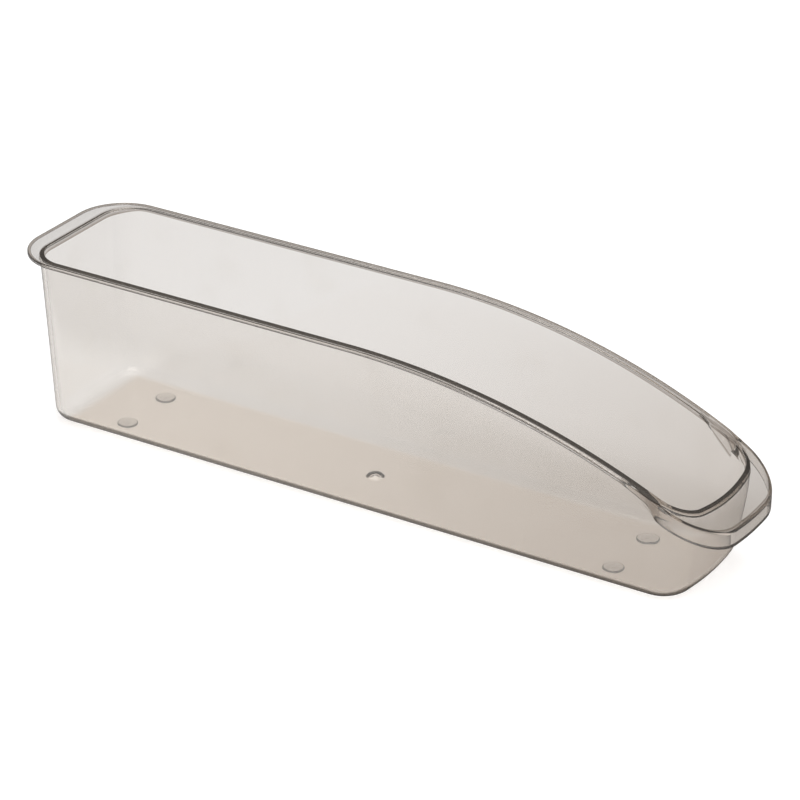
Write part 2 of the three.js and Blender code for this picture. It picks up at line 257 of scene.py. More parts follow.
# From where to where the table's painted light and shade change, along X or Y
TABLE_FALL, OPEN_TABLE_FALL = (-0.22, 0.12), (-0.22, 0.15)
TUB_SIDE, TUB_BACK = (0.026, 0.033), (0.159, 0.166)
BEHIND_ENDS, BESIDE_ENDS = (0.02, 0.07), (0.05, 0.11)

FLOOR_HALF_SPAN, FLOOR_GAP = 6.0, 0.0001
LAMPS = (("key", (-1.2, -0.5, 1.7), 1.6, 16), ("back", (0.5, 0.4, 1.9), 1.0, 8))


# Geometry: outlines, rim line and cross-sections, all as whole arrays in metres


def smooth(t):
    """The cubic that leaves 0 and reaches 1 level: 3t squared less 2t cubed."""
    t = np.clip(t, 0, 1)
    return t * t * (3 - 2 * t)


def lerp(a, b, t):
    """Straight mix of a and b."""
    return a + (b - a) * t


class Moulding:
    """Outlines and rim line of the tub, worked out from the sizes."""

    def __init__(self, s):
        self.s = s
        self.back_edge = CAD_HIGH.y
        self.front_edge = CAD_LOW.y
        self.base_back = self.back_edge - s.back_lean - s.back_overhang
        self.base_front = self.front_edge + s.handle_reach
        self.root = self.front_edge + s.handle_bow + s.handle_corner_radius
        self.ramp_start = self.root + s.skirt_ramp_gap
        half = s.base_width / 2
        root_half = half + s.side_lean * self.rim(self.root) / s.tub_height
        self.handle_half = root_half + s.handle_overhang
        self.base = self.outline(
            half,
            half,
            self.base_back,
            self.base_front,
            s.base_back_radius,
            s.base_front_radius,
            s.base_bow,
        )
        self.top = self.outline(
            half + s.side_lean,
            half + s.side_lean - s.front_draw_in,
            self.base_back + s.back_lean,
            self.base_front - s.front_lean,
            s.base_back_radius + s.back_radius_growth,
            s.base_front_radius + s.front_radius_growth,
            s.base_bow + s.bow_growth,
        )
        self.edge = self.outline(
            half + s.side_lean + s.side_overhang,
            self.handle_half,
            self.back_edge,
            self.front_edge,
            s.rim_back_radius,
            s.handle_corner_radius,
            s.handle_bow,
        )
        self.wall_out = self.outwards(self.top)
        self.edge_out = self.outwards(self.edge)

    def rim(self, y):
        """Height of the rim at y: level, then the arc of one circle falling towards the handle."""
        s = self.s
        run = np.maximum(s.dip_start - y, 0)
        return s.tub_height - s.dip_radius + np.sqrt(s.dip_radius**2 - run**2)

    def outline(self, back_half, front_half, back, front, back_r, front_r, bow):
        """Closed outline, anticlockwise from the middle of the front.

        Half of it runs straight along the back, round an arc, down a side that draws in as
        the rim falls, round the front arc and along a parabola to the middle; the other half
        mirrors it.
        """
        s = self.s
        n = s.corner_stations
        flat = back_half - back_r
        straight = np.linspace(0, 1, n // 3, endpoint=False)
        parts = [np.stack([flat * straight, np.full(len(straight), back)], 1)]
        a = np.linspace(np.pi / 2, 0, n)
        parts.append(np.stack([flat + back_r * np.cos(a), back - back_r + back_r * np.sin(a)], 1))
        flat = front_half - front_r
        turn = math.atan(2 * bow / flat)
        bow_end = flat + front_r * math.sin(turn)
        side_front = front + bow + front_r * math.cos(turn)
        # Two thirds of the stations share the last sixth of the side, where the handle starts.
        close = 2 * s.side_stations // 3
        share = np.concatenate(
            [
                np.linspace(0, 5 / 6, s.side_stations - close, endpoint=False)[1:],
                np.linspace(5 / 6, 1, close),
            ]
        )
        y = lerp(back - back_r, side_front, share)
        dip = (s.tub_height - self.rim(y)) / (s.tub_height - self.rim(side_front))
        parts.append(np.stack([lerp(back_half, front_half, dip), y], 1))
        a = np.linspace(0, np.pi / 2 - turn, n + 1)[1:]
        parts.append(np.stack([flat + front_r * np.cos(a), side_front - front_r * np.sin(a)], 1))
        x = bow_end * (1 - np.linspace(0, 1, n // 2 + 1)[1:])
        parts.append(np.stack([x, front + bow * (x / bow_end) ** 2], 1))
        half = np.concatenate(parts)[::-1]
        mirrored = half[1:-1][::-1] * (-1, 1)
        return np.concatenate([half, mirrored])

    @staticmethod
    def outwards(line):
        """Outward unit normals of a closed outline, from each point's two neighbours."""
        along = np.roll(line, -1, 0) - np.roll(line, 1, 0)
        along /= np.linalg.norm(along, axis=1)[:, None]
        return np.stack([along[:, 1], -along[:, 0]], 1)

    def wall(self, z, inset):
        """Points of the wall at height z, moved in by inset: base and top mixed by height."""
        z = np.broadcast_to(np.asarray(z, float), (len(self.base),))
        p = lerp(self.base, self.top, (z / self.s.tub_height)[:, None])
        return p - self.wall_out * inset

    def wall_at_rim(self, inset, drop):
        """Where the wall meets the rim lowered by drop, found by stepping to a fixed point."""
        z = self.rim(self.base[:, 1]) - drop
        for _ in range(RIM_STEPS):
            z = self.rim(self.wall(z, inset)[:, 1]) - drop
        return self.wall(z, inset), z

    def ramp(self, y):
        """How far from flange edge to full skirt a place along Y is."""
        return smooth((self.ramp_start - y) / self.s.skirt_ramp_length)

    def skirt(self, y):
        """Depth of edge and skirt along Y: thin, then a lead-in, then a smooth ramp."""
        s = self.s
        lead = np.clip((self.ramp_start + s.lead_length - y) / s.lead_length, 0, 1)
        return lerp(lerp(s.edge_depth, s.lead_depth, lead), s.skirt_depth, self.ramp(y))

    def web_share(self, y):
        """Rises from 0 to 1 from the web's thin to its deep end, and falls in front of it."""
        start, end = self.ramp_start + self.s.web_lead, self.root + self.s.boss_setback
        return smooth((start - y) / (start - end)) * (1 - smooth((end - y) / self.s.boss_diameter))

    def root_share(self, y):
        """1 at the handle root, falling smoothly to 0 behind the ramp and along the handle."""
        return smooth(1 - np.abs(y - self.root) / (2 * self.s.skirt_ramp_length))

    def wall_face(self, y, z):
        """X of the wall's outer face on the +X side at y and height z."""
        p = self.wall(z, 0)
        p = p[p[:, 0] > 0]
        order = np.argsort(p[:, 1])
        return float(np.interp(y, p[order, 1], p[order, 0]))

    def flange_core(self, y):
        """Height half way through the flange at the wall."""
        return float(self.rim(y)) - (self.s.shelf_drop_at_wall + self.s.flange) / 2


def tub_rows(m):
    """Cross-section of the tub at every station, as rows from the underside to the inner floor.

    Each row is the set of outline points at one place of the section: outer fillet, wall,
    flange underside, skirt, rounded edge, rim or shelf with its step, mouth, inner wall and
    inner fillet. Two more columns tell how much painted shade darkens the plastic's colour there:
    dark lines painted along thick edges and bands, and painted shade on roundings seen at a slant.
    """
    s = m.s
    rows = []

    # Dark and slant are how much painted shade a row takes: dark lines painted on edges and bands,
    # and painted shade on roundings seen at a slant
    def put(xy, z, dark=0.0, slant=0.0):
        values = (np.broadcast_to(value, (len(xy),)) for value in (z, dark, slant))
        rows.append(np.column_stack([xy, *values]))

    def put_wall(z, inset, dark=0.0, slant=0.0):
        put(m.wall(z, inset), z, dark, slant)

    def put_top(xy, drop, dark):
        put(xy, m.rim(xy[:, 1]) - drop, dark)

    on_handle = smooth((m.root - m.edge[:, 1]) / s.step_curve_length)
    reach = 1 - on_handle
    wall_drop = s.shelf_drop_at_wall * np.minimum(on_handle * 3, 1)
    edge_drop = s.shelf_drop_at_edge * np.minimum(on_handle * 3, 1)

    for a in ARC:
        z = s.bottom_radius * (1 - math.cos(a))
        # The fillet's last row is the wall's foot, which takes no painted shade.
        put_wall(z, s.bottom_radius * (1 - math.sin(a)), 0, s.fillet_painted_shade * (a < ARC[-1]))
    put_wall(s.bottom_radius * ABOVE_OUTER_FILLET, 0)

    under, under_z = m.wall_at_rim(0, wall_drop + s.flange)
    put_wall(under_z - s.band, 0)
    inner = m.edge - m.edge_out * s.edge_thickness
    inner_top = m.rim(inner[:, 1]) - edge_drop - s.flange
    gap = inner - under
    distance = np.linalg.norm(gap, axis=1)
    fillet = np.minimum(s.root_round, 0.4 * distance)
    for a in SHORT_ARC:
        down = fillet * (1 - math.sin(a))
        out = fillet * (1 - math.cos(a)) / distance
        p = m.wall(under_z - down, 0) * (1 - out)[:, None] + inner * out[:, None]
        put(p, lerp(under_z, inner_top, out) - down, s.flange_painted_shade * math.sin(a))

    along = m.edge[:, 1]
    depth = m.skirt(along)
    # Painted shade on the skirt, strongest at the handle root and beside the web
    skirt_painted_shade = s.skirt_painted_shade * m.root_share(along) + s.web_side_painted_shade * m.web_share(along)
    foot = s.edge_foot_round
    top_round = lerp(s.edge_round, s.handle_edge_round, m.ramp(along))
    put(inner, inner_top, s.flange_painted_shade)
    inner_low = m.rim(inner[:, 1]) - edge_drop - depth
    outer_low = m.rim(along) - edge_drop - depth
    put(inner, np.minimum(inner_top, inner_low + foot + s.fade), skirt_painted_shade)
    for a in SHORT_ARC:
        put(
            inner + m.edge_out * foot * (1 - math.cos(a)),
            np.minimum(inner_top, inner_low + foot * (1 - math.sin(a))),
            s.edge_painted_shade,
        )
    for a in SHORT_ARC:
        p = m.edge - m.edge_out * foot * (1 - math.sin(a))
        put(p, outer_low + foot * (1 - math.cos(a)), s.edge_painted_shade)
    put(m.edge, outer_low + foot + s.fade, skirt_painted_shade)
    for a in ARC:
        p = m.edge - m.edge_out * (top_round * (1 - math.cos(a)))[:, None]
        dark = lerp(skirt_painted_shade, s.edge_painted_shade, math.sin(a) ** 2)
        put(p, m.rim(p[:, 1]) - edge_drop - top_round * (1 - math.sin(a)), dark)

    crest = m.edge - m.edge_out * top_round[:, None]
    outer, _ = m.wall_at_rim(0, 0)
    direction = crest - outer
    room = np.linalg.norm(direction, axis=1)
    direction /= room[:, None]
    step_out = np.maximum(room - s.step_run, 0) * reach
    step_drop = lerp(wall_drop, edge_drop, reach)
    for share in FLANGE_ROWS:
        p = outer + direction * lerp(step_out, room, share)[:, None]
        put_top(p, lerp(step_drop, edge_drop, share), s.flange_painted_shade)
    put_top(outer + direction * step_out[:, None], step_drop, s.flange_painted_shade)
    # Painted shade on the step: the crest's on the handle, the flange's away from it
    top_painted_shade = lerp(s.crest_painted_shade, s.flange_painted_shade, reach)
    for share in (0.5, 1):
        p = outer + direction * (step_out - s.step_run * share)[:, None]
        put_top(p, step_drop * (1 - share), top_painted_shade)
    # The rows by the wall's face; on the handle they follow the step, just inside its top.
    for near_wall, dark in ((s.fade, top_painted_shade), (0, s.crest_painted_shade)):
        on_step = near_wall - s.step_run - s.fade * 1.1
        put_top(outer + direction * lerp(on_step, near_wall, reach)[:, None], 0, dark)

    _, mouth_z = m.wall_at_rim(s.wall, 0)
    for a in ARC:
        z = mouth_z - s.mouth_round * (1 - math.cos(a))
        put_wall(z, s.wall - s.mouth_round * (1 - math.sin(a)), s.crest_painted_shade)
    # The painted dark band in the mouth deepens over eight of its added depths before the back.
    at_back = smooth((m.base[:, 1] - m.base_back) / s.back_band / 8 + 1)
    band = s.flange + s.back_band * at_back
    band_painted_shade = lerp(s.edge_painted_shade, s.back_painted_shade, at_back)
    for below, dark in ((band, band_painted_shade), (band + s.fade, 0), (s.band, 0)):
        put_wall(mouth_z - below, s.wall, dark)
    radius = s.bottom_radius - s.wall
    put_wall(s.floor + radius * ABOVE_INNER_FILLET, s.wall)
    for a in ARC[::-1]:
        put_wall(s.floor + radius * (1 - math.cos(a)), s.wall + radius * (1 - math.sin(a)))
    return rows


def floor_rows(ring, centre, radius, rise, level):
    """Rows that carry an outline in to a round bump, then the bump.

    The rings mix outline and circle. The bump's height is the rise times the square of one less
    the radius squared, so it leaves the flat floor level and tops out flat.
    """

    def ring_at(points, z):
        return np.column_stack([centre + points, np.full((len(points), 3), (z, 0, 0))])

    xy = ring[:, :2] - centre
    towards = xy / np.linalg.norm(xy, axis=1)[:, None]
    circle = towards * radius * CIRCLE_REACH
    rows = [ring_at(lerp(xy, circle, t), level) for t in FLOOR_RINGS]
    for r in DIMPLE_RINGS:
        lift = rise * np.clip(1 - r * r, 0, 1) ** 2
        rows.append(ring_at(towards * radius * r, level + lift))
    return rows


def closed_grid(rows, first_pole, last_pole):
    """Vertices and faces of rings joined row to row, with a fan to a pole at each end."""
    count = len(rows[0])
    verts = np.concatenate([*rows, [first_pole], [last_pole]])
    k = np.arange(count)
    nxt = (k + 1) % count
    i = np.arange(len(rows) - 1)[:, None] * count
    quads = np.stack([i + k, i + nxt, i + count + nxt, i + count + k], 2).reshape(-1, 4)
    low, high = len(verts) - 2, len(verts) - 1
    last = (len(rows) - 1) * count
    fans = np.concatenate(
        [
            np.stack([nxt, k, np.full(count, low)], 1),
            np.stack([last + k, last + nxt, np.full(count, high)], 1),
        ]
    )
    return verts, quads, fans


def mesh_object(name, verts, quads, fans):
    """A mesh object from arrays of points, four-cornered faces and three-cornered faces.

    A fourth and fifth column of the points become the attributes that darken the plastic's colour
    with painted shade.
    """
    mesh = bpy.data.meshes.new(name)
    corners = np.concatenate([quads.reshape(-1), fans.reshape(-1)]).astype(np.int32)
    sizes = np.concatenate([np.full(len(quads), 4), np.full(len(fans), 3)])
    starts = np.concatenate([[0], np.cumsum(sizes)[:-1]]).astype(np.int32)
    mesh.vertices.add(len(verts))
    verts = np.asarray(verts, np.float32)
    mesh.vertices.foreach_set("co", verts[:, :3].reshape(-1))
    mesh.loops.add(len(corners))
    mesh.loops.foreach_set("vertex_index", corners)
    mesh.polygons.add(len(sizes))
    mesh.polygons.foreach_set("loop_start", starts)
    mesh.update(calc_edges=True)
    mesh.validate()
    for key, column in zip((DARK, SLANT), verts[:, 3:].T):
        values = mesh.attributes.new(key, "FLOAT", "POINT").data
        values.foreach_set("value", np.ascontiguousarray(column))
    obj = bpy.data.objects.new(name, mesh)
    bpy.context.scene.collection.objects.link(obj)
    return obj


def turned(name, radii, heights, centre, segments=72, slants=None):
    """A closed turned shape: a profile of radius against height carried round an upright axis.

    The profile runs from the bottom of the axis outwards and back to the top of the axis. Slants
    give each of its points how much painted shade it takes at a slant.
    """
    a = np.linspace(0, 2 * np.pi, segments, endpoint=False)
    ring = np.stack([np.cos(a), np.sin(a)], 1)
    slants = slants or [0] * len(radii)
    rows = [
        np.column_stack([centre[:2] + ring * r, np.full((segments, 3), (centre[2] + z, 0, slant))])
        for r, z, slant in zip(radii[1:-1], heights[1:-1], slants[1:-1])
    ]
    low = (centre[0], centre[1], centre[2] + heights[0], 0, slants[0])
    high = (centre[0], centre[1], centre[2] + heights[-1], 0, slants[-1])
    return mesh_object(name, *closed_grid(rows, low, high))


def finish_mesh(obj, angle):
    """Smooth shading that breaks at edges sharper than the angle, in degrees."""
    obj.data.shade_smooth()
    obj.data.set_sharp_from_angle(angle=math.radians(angle))


def settle(obj, slot, material, *nodes):
    """Gives a piece its body and material, and hides the CAD nodes that it stands for. Its record
    slot is not used.
    """
    obj.data.materials.clear()
    obj.data.materials.append(material)
    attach(obj, BODY)
    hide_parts(*nodes)


# Materials


def cleared(owner):
    """The node tree of a material or world, emptied."""
    owner.use_nodes = True
    owner.node_tree.nodes.clear()
    return owner.node_tree


def feed(tree, value, socket):
    """Links a socket's value, or sets a number or a colour of three parts."""
    if isinstance(value, bpy.types.NodeSocket):
        tree.links.new(value, socket)
    else:
        socket.default_value = value if isinstance(value, (int, float)) else (*value, 1)


def eased(tree, value, limits):
    """A node that goes smoothly from 0 to 1 while the value goes from limit to limit."""
    node = tree.nodes.new("ShaderNodeMapRange")
    node.interpolation_type = "SMOOTHSTEP"
    node.inputs["From Min"].default_value, node.inputs["From Max"].default_value = limits
    feed(tree, value, node.inputs["Value"])
    return node


def mixed(tree, factor, first, second):
    """A colour between two colours, the first at a factor of 0."""
    node = tree.nodes.new("ShaderNodeMix")
    node.data_type = "RGBA"
    for key, value in (("Factor", factor), ("A", first), ("B", second)):
        feed(tree, value, node.inputs[key])
    return node.outputs["Result"]


def mixed_shaders(tree, factor, first, second):
    """A shader between two shaders, the first at a factor of 0."""
    node = tree.nodes.new("ShaderNodeMixShader")
    for socket, value in zip(node.inputs, (factor, first, second)):
        feed(tree, value, socket)
    return node.outputs["Shader"]


def worked_out(tree, operation, first, second):
    """Two values put together, such as their product or the larger of them."""
    node = tree.nodes.new("ShaderNodeMath")
    node.operation = operation
    for socket, value in zip(node.inputs, (first, second)):
        feed(tree, value, socket)
    return node.outputs["Value"]


def handling_marks():
    """Node group: roughness and relief of a moulded, handled clear surface.

    Soft clouds stand for touch marks and residue, stretched noise for the mould's polish lines
    and a broad, low swell for the flow of the plastic.
    """
    group = bpy.data.node_groups.get("handling_marks")
    if group:
        return group
    group = bpy.data.node_groups.new("handling_marks", "ShaderNodeTree")
    face = group.interface
    for name, value in (
        ("Base Roughness", 0.03),
        ("Smear Roughness", 0.12),
        ("Smear Scale", 45.0),
        ("Line Scale", 260.0),
        ("Swell Scale", 14.0),
    ):
        face.new_socket(name, in_out="INPUT", socket_type="NodeSocketFloat").default_value = value
    for name in ("Roughness", "Height", "Smear"):
        face.new_socket(name, in_out="OUTPUT", socket_type="NodeSocketFloat")
    nodes, links = group.nodes, group.links
    given, out = nodes.new("NodeGroupInput"), nodes.new("NodeGroupOutput")
    place = nodes.new("ShaderNodeTexCoord")

    def noise(scale, detail, stretch=(1, 1, 1)):
        mapping = nodes.new("ShaderNodeMapping")
        mapping.inputs["Scale"].default_value = stretch
        texture = nodes.new("ShaderNodeTexNoise")
        texture.inputs["Detail"].default_value = detail
        links.new(place.outputs["Object"], mapping.inputs["Vector"])
        links.new(mapping.outputs["Vector"], texture.inputs["Vector"])
        links.new(given.outputs[scale], texture.inputs["Scale"])
        return texture.outputs["Fac"]

    smear = eased(group, noise("Smear Scale", 5), SMEAR_ROUGHENS)
    links.new(given.outputs["Base Roughness"], smear.inputs["To Min"])
    links.new(given.outputs["Smear Roughness"], smear.inputs["To Max"])
    links.new(smear.outputs["Result"], out.inputs["Roughness"])
    mask = eased(group, noise("Smear Scale", 5), SMEAR_SHOWS)
    links.new(mask.outputs["Result"], out.inputs["Smear"])
    lines = noise("Line Scale", 3, (1, 0.06, 1))
    swell = noise("Swell Scale", 1, (1, 0.5, 1))
    mix = nodes.new("ShaderNodeMix")
    mix.inputs["Factor"].default_value = SWELL_SHARE
    links.new(lines, mix.inputs["A"])
    links.new(swell, mix.inputs["B"])
    links.new(mix.outputs["Result"], out.inputs["Height"])
    return group


def clear_plastic(name, looks, tint, density, marks, relief):
    """Clear tinted plastic, its tint taken up by depth.

    Faces seen end-on, roundings seen at a slant and thick edges each darken to a colour of
    their own, painted shade in place of the dark lines that refraction gives. The last two are
    marked by the mesh's attributes.
    """
    mat = bpy.data.materials.new(name)
    tree = cleared(mat)
    nodes, links = tree.nodes, tree.links
    out = nodes.new("ShaderNodeOutputMaterial")
    body = nodes.new("ShaderNodeBsdfPrincipled")
    body.inputs["Base Color"].default_value = (1, 1, 1, 1)
    body.inputs["Transmission Weight"].default_value = CLEARNESS
    body.inputs["IOR"].default_value = REFRACTION
    surface = nodes.new("ShaderNodeGroup")
    surface.node_tree = handling_marks()
    for key, value in marks.items():
        surface.inputs[key].default_value = value
    links.new(surface.outputs["Roughness"], body.inputs["Roughness"])

    facing = nodes.new("ShaderNodeLayerWeight")
    facing.inputs["Blend"].default_value = 0.5
    end_on = eased(tree, facing.outputs["Facing"], END_ON).outputs["Result"]
    at_slant = eased(tree, facing.outputs["Facing"], SLANTED).outputs["Result"]
    dark, slant = nodes.new("ShaderNodeAttribute"), nodes.new("ShaderNodeAttribute")
    dark.attribute_name, slant.attribute_name = DARK, SLANT
    slanted = worked_out(tree, "MULTIPLY", slant.outputs["Fac"], at_slant)
    # The smear's real residue, then painted shade on faces seen end-on, on roundings at a slant
    # and on thick edges
    keeps = mixed(tree, surface.outputs["Smear"], (1, 1, 1), SMEAR_KEEPS)
    keeps = mixed(tree, end_on, keeps, looks.outline_shade_colour)
    keeps = mixed(tree, slanted, keeps, looks.slant_shade_colour)
    keeps = mixed(tree, dark.outputs["Fac"], keeps, looks.edge_shade_colour)
    links.new(keeps, body.inputs["Base Color"])

    bump = nodes.new("ShaderNodeBump")
    bump.inputs["Distance"].default_value = relief
    links.new(surface.outputs["Height"], bump.inputs["Height"])
    links.new(bump.outputs["Normal"], body.inputs["Normal"])
    path = nodes.new("ShaderNodeLightPath")
    shade = nodes.new("ShaderNodeBsdfTransparent")
    shade.inputs["Color"].default_value = (*looks.shadow_tint, 1)
    shown = mixed_shaders(
        tree, path.outputs["Is Shadow Ray"], body.outputs["BSDF"], shade.outputs["BSDF"]
    )
    links.new(shown, out.inputs["Surface"])
    depth = nodes.new("ShaderNodeVolumeAbsorption")
    depth.inputs["Color"].default_value = (*tint, 1)
    depth.inputs["Density"].default_value = density
    links.new(depth.outputs["Volume"], out.inputs["Volume"])
    return mat


def floor_material(looks):
    """Plain pale floor.

    Straight to the camera it is lit paint with a little glow, so that it reads white and keeps
    the object's shadow. Through plastic and in gloss it is a table with painted light and shade.
    Its tones fall off evenly towards the handle's end as painted shade, and differ under the tub,
    where they are a painted warm shadow, close beside it, where they are darker painted shade,
    behind it, where they are near white, and beyond it. In gloss they are a painted reflection.
    """
    mat = bpy.data.materials.new("pale_floor")
    tree = cleared(mat)
    nodes, links = tree.nodes, tree.links
    out = nodes.new("ShaderNodeOutputMaterial")
    matte = nodes.new("ShaderNodeBsdfDiffuse")
    matte.inputs["Color"].default_value = (*looks.floor_colour, 1)
    glow = nodes.new("ShaderNodeEmission")
    glow.inputs["Strength"].default_value = looks.floor_glow
    paint = nodes.new("ShaderNodeAddShader")
    links.new(matte.outputs["BSDF"], paint.inputs[0])
    links.new(glow.outputs["Emission"], paint.inputs[1])

    place, split = nodes.new("ShaderNodeTexCoord"), nodes.new("ShaderNodeSeparateXYZ")
    links.new(place.outputs["Object"], split.inputs["Vector"])

    def past(axis, limits):
        return eased(tree, split.outputs[axis], limits).outputs["Result"]

    # Painted shade falls off towards the handle's end; a painted warm shadow lies under the tub
    # and painted shade beside it
    lengthwise, longer = past("Y", TABLE_FALL), past("Y", OPEN_TABLE_FALL)
    beyond = mixed(tree, longer, looks.beyond_front, looks.beyond_back)
    under = mixed(tree, lengthwise, looks.shadow_under_front, looks.shadow_under_back)
    beside = mixed(tree, longer, looks.shade_beside_front, looks.shade_beside_back)
    behind = mixed(tree, past("X", BEHIND_ENDS), looks.behind, beside)
    close = mixed(tree, past("X", TUB_SIDE), under, beside)
    close = mixed(tree, past("Y", TUB_BACK), close, behind)
    seen = mixed(tree, past("X", BESIDE_ENDS), close, beyond)
    gloss = mixed(tree, lengthwise, looks.reflection_front, looks.reflection_back)
    path = nodes.new("ShaderNodeLightPath")
    through, mirrored = path.outputs["Is Transmission Ray"], path.outputs["Is Glossy Ray"]
    table = nodes.new("ShaderNodeEmission")
    links.new(mixed(tree, through, gloss, seen), table.inputs["Color"])
    either = worked_out(tree, "MAXIMUM", through, mirrored)
    part = worked_out(tree, "MULTIPLY", either, looks.table_share)
    shown = mixed_shaders(tree, part, paint.outputs["Shader"], table.outputs["Emission"])
    links.new(shown, out.inputs["Surface"])
    return mat


# Operators


class FRIDGEBIN_OT_tub(bpy.types.Operator):
    """Build the tub with rim, handle, bosses, gussets, webs and gate mark as one moulding"""

    bl_idname = "fridge_bin.tub"
    bl_label = "Tub"

    def execute(self, context):
        s, looks = context.scene.fridge_bin_sizes, context.scene.fridge_bin_looks
        m = Moulding(s)
        rows = tub_rows(m)
        centre = np.array([0, (m.base_back + m.base_front) / 2 + s.gate_offset])
        under = floor_rows(rows[0], centre, (s.gate_diameter - s.floor) / 2, s.gate_rise, 0)
        inside = floor_rows(rows[-1], centre, s.gate_diameter / 2, s.gate_rise, s.floor)
        rows = [*under[::-1], *rows, *inside]
        poles = (*centre, s.gate_rise, 0, 0), (*centre, s.floor + s.gate_rise, 0, 0)
        verts, quads, fans = closed_grid(rows, *poles)
        tub = mesh_object("tub_clear", verts, quads, fans)
        extras = [make(m, side) for make in (self.boss, self.gusset, self.web) for side in (-1, 1)]
        for extra in extras:
            join = tub.modifiers.new(extra.name, "BOOLEAN")
            join.operation, join.solver, join.object = "UNION", "MANIFOLD", extra
        evaluated = tub.evaluated_get(context.evaluated_depsgraph_get())
        joined = bpy.data.meshes.new_from_object(evaluated)
        tub.modifiers.clear()
        tub.data = joined
        joined.transform(Matrix.Translation((0, 0, s.foot_height)))
        for extra in extras:
            bpy.data.objects.remove(extra)
        finish_mesh(tub, TUB_CREASE)
        tint, density = looks.tint, looks.tint_density
        look = clear_plastic("clear_tinted_plastic", looks, tint, density, TUB_MARKS, TUB_RELIEF)
        settle(tub, "clear_tinted", look, "tub")
        return {"FINISHED"}

    @staticmethod
    def boss(m, side):
        """Round boss under the flange, its lower edge rounded."""
        s = m.s
        y = m.root + s.boss_setback
        top = m.flange_core(y)
        bottom = float(m.rim(y)) - s.flange - s.boss_drop
        x = side * (m.wall_face(y, bottom) + BOSS_CLEARANCE)
        radius, soft = s.boss_diameter / 2, s.edge_foot_round
        radii = [0, *(radius - soft * (1 - np.sin(SHORT_ARC))), radius, 0]
        heights = [0, *(soft * (1 - np.cos(SHORT_ARC))), top - bottom, top - bottom]
        return turned("boss", radii, heights, (x, y, bottom), BOSS_SEGMENTS)

    @staticmethod
    def gusset(m, side):
        """Wedge in the corner of wall, flange and skirt that slopes to a point on the wall."""
        s = m.s
        root = m.root + s.boss_setback
        tip = root - s.gusset_run
        root_z = float(m.rim(root) - m.skirt(root))
        tip_z = root_z - s.gusset_fall
        plan = [
            (m.wall_face(root, root_z) - GUSSET_BITE, root, root_z, m.flange_core(root)),
            (m.handle_half - s.edge_thickness / 2, root, root_z, m.flange_core(root)),
            (m.wall_face(tip, tip_z), tip, tip_z, m.flange_core(tip)),
            (m.wall_face(tip, tip_z) - GUSSET_BITE, tip, tip_z, m.flange_core(tip)),
        ]
        low = [(side * x, y, z) for x, y, z, _ in plan]
        high = [(side * x, y, z) for x, y, _, z in plan]
        sides = [(i, i + 4, (i + 1) % 4 + 4, (i + 1) % 4) for i in range(4)]
        faces = [(0, 1, 2, 3), (7, 6, 5, 4), *sides]
        if side < 0:
            faces = [face[::-1] for face in faces]
        return mesh_object("gusset", np.array(low + high), np.array(faces), np.zeros((0, 3), int))

    @staticmethod
    def web(m, side):
        """Web that fills the corner of wall and skirt behind the handle root.

        Upright sections along the side, joined one to the next. The underside leaves the
        flange's edge and sinks along the wall in one smooth sweep, with painted shade along both
        its edges and lighter painted shade between them.
        """
        s = m.s
        start, end = m.ramp_start + s.web_lead, m.root + s.boss_setback
        tone = s.web_painted_shade
        # Painted shade across the underside: full at both edges, the web's painted shade between
        # them
        tones = ((0.3, 1), (0.36, tone), (0.84, tone), (0.9, 1), (1, 1))
        line = m.edge[m.edge[:, 0] > 0]
        line = line[np.argsort(line[:, 1])]
        rows = []
        for y in np.linspace(start, end, WEB_SECTIONS):
            rim, core = float(m.rim(y)), m.flange_core(y)
            out = float(np.interp(y, line[:, 1], line[:, 0])) - s.edge_thickness / 2
            low = rim - lerp(s.edge_depth, s.web_depth, float(smooth((start - y) / (start - end))))
            lip = rim - float(m.skirt(y)) + s.fade
            corner, tip = np.array((m.wall_face(y, low), y, low)), np.array((out, y, lip))
            ring = [
                (corner[0] - WEB_BITE, y, low, 1),
                *((*lerp(corner, tip, share), dark) for share, dark in tones),
                (out, y, core, 0),
                (m.wall_face(y, core) - WEB_BITE, y, core, 0),
            ]
            rows.append(np.array(ring[::side]) * (side, 1, 1, 1))
        return mesh_object("web", *closed_grid(rows, rows[0].mean(0), rows[-1].mean(0)))


class FRIDGEBIN_OT_feet(bpy.types.Operator):
    """Build the four round clear feet"""

    bl_idname = "fridge_bin.feet"
    bl_label = "Feet"

    def execute(self, context):
        s, looks = context.scene.fridge_bin_sizes, context.scene.fridge_bin_looks
        tint, density = looks.foot_tint, looks.foot_density
        look = clear_plastic("clear_foot_plastic", looks, tint, density, FOOT_MARKS, FOOT_RELIEF)
        top, dome, dent = s.foot_height - s.foot_seat_gap, s.foot_height * 2 / 3, s.foot_mark_depth
        radius, flat, mark = s.foot_diameter / 2, s.foot_flat / 2, s.foot_mark / 2
        radii = [0, mark - FOOT_CURL, mark, mark, mark + FOOT_CURL]
        heights = [dent, dent, dent - FOOT_CURL, FOOT_CURL, 0]
        radii += [*(flat + (radius - flat) * np.sin(ARC)), radius, radius - FOOT_CURL, 0]
        heights += [*(dome * (1 - np.cos(ARC))), top - FOOT_CURL, top, top]
        # Painted shade at a slant on all but the top two points of the profile: dark crescents
        # painted into the clear feet
        slants = [1] * (len(radii) - 2) + [0, 0]
        for name in FEET:
            low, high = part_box(name)
            centre = ((low.x + high.x) / 2, (low.y + high.y) / 2, low.z)
            foot = turned(name + "_clear", radii, heights, centre, slants=slants)
            finish_mesh(foot, FOOT_CREASE)
            settle(foot, "clear_foot", look, name)
        return {"FINISHED"}


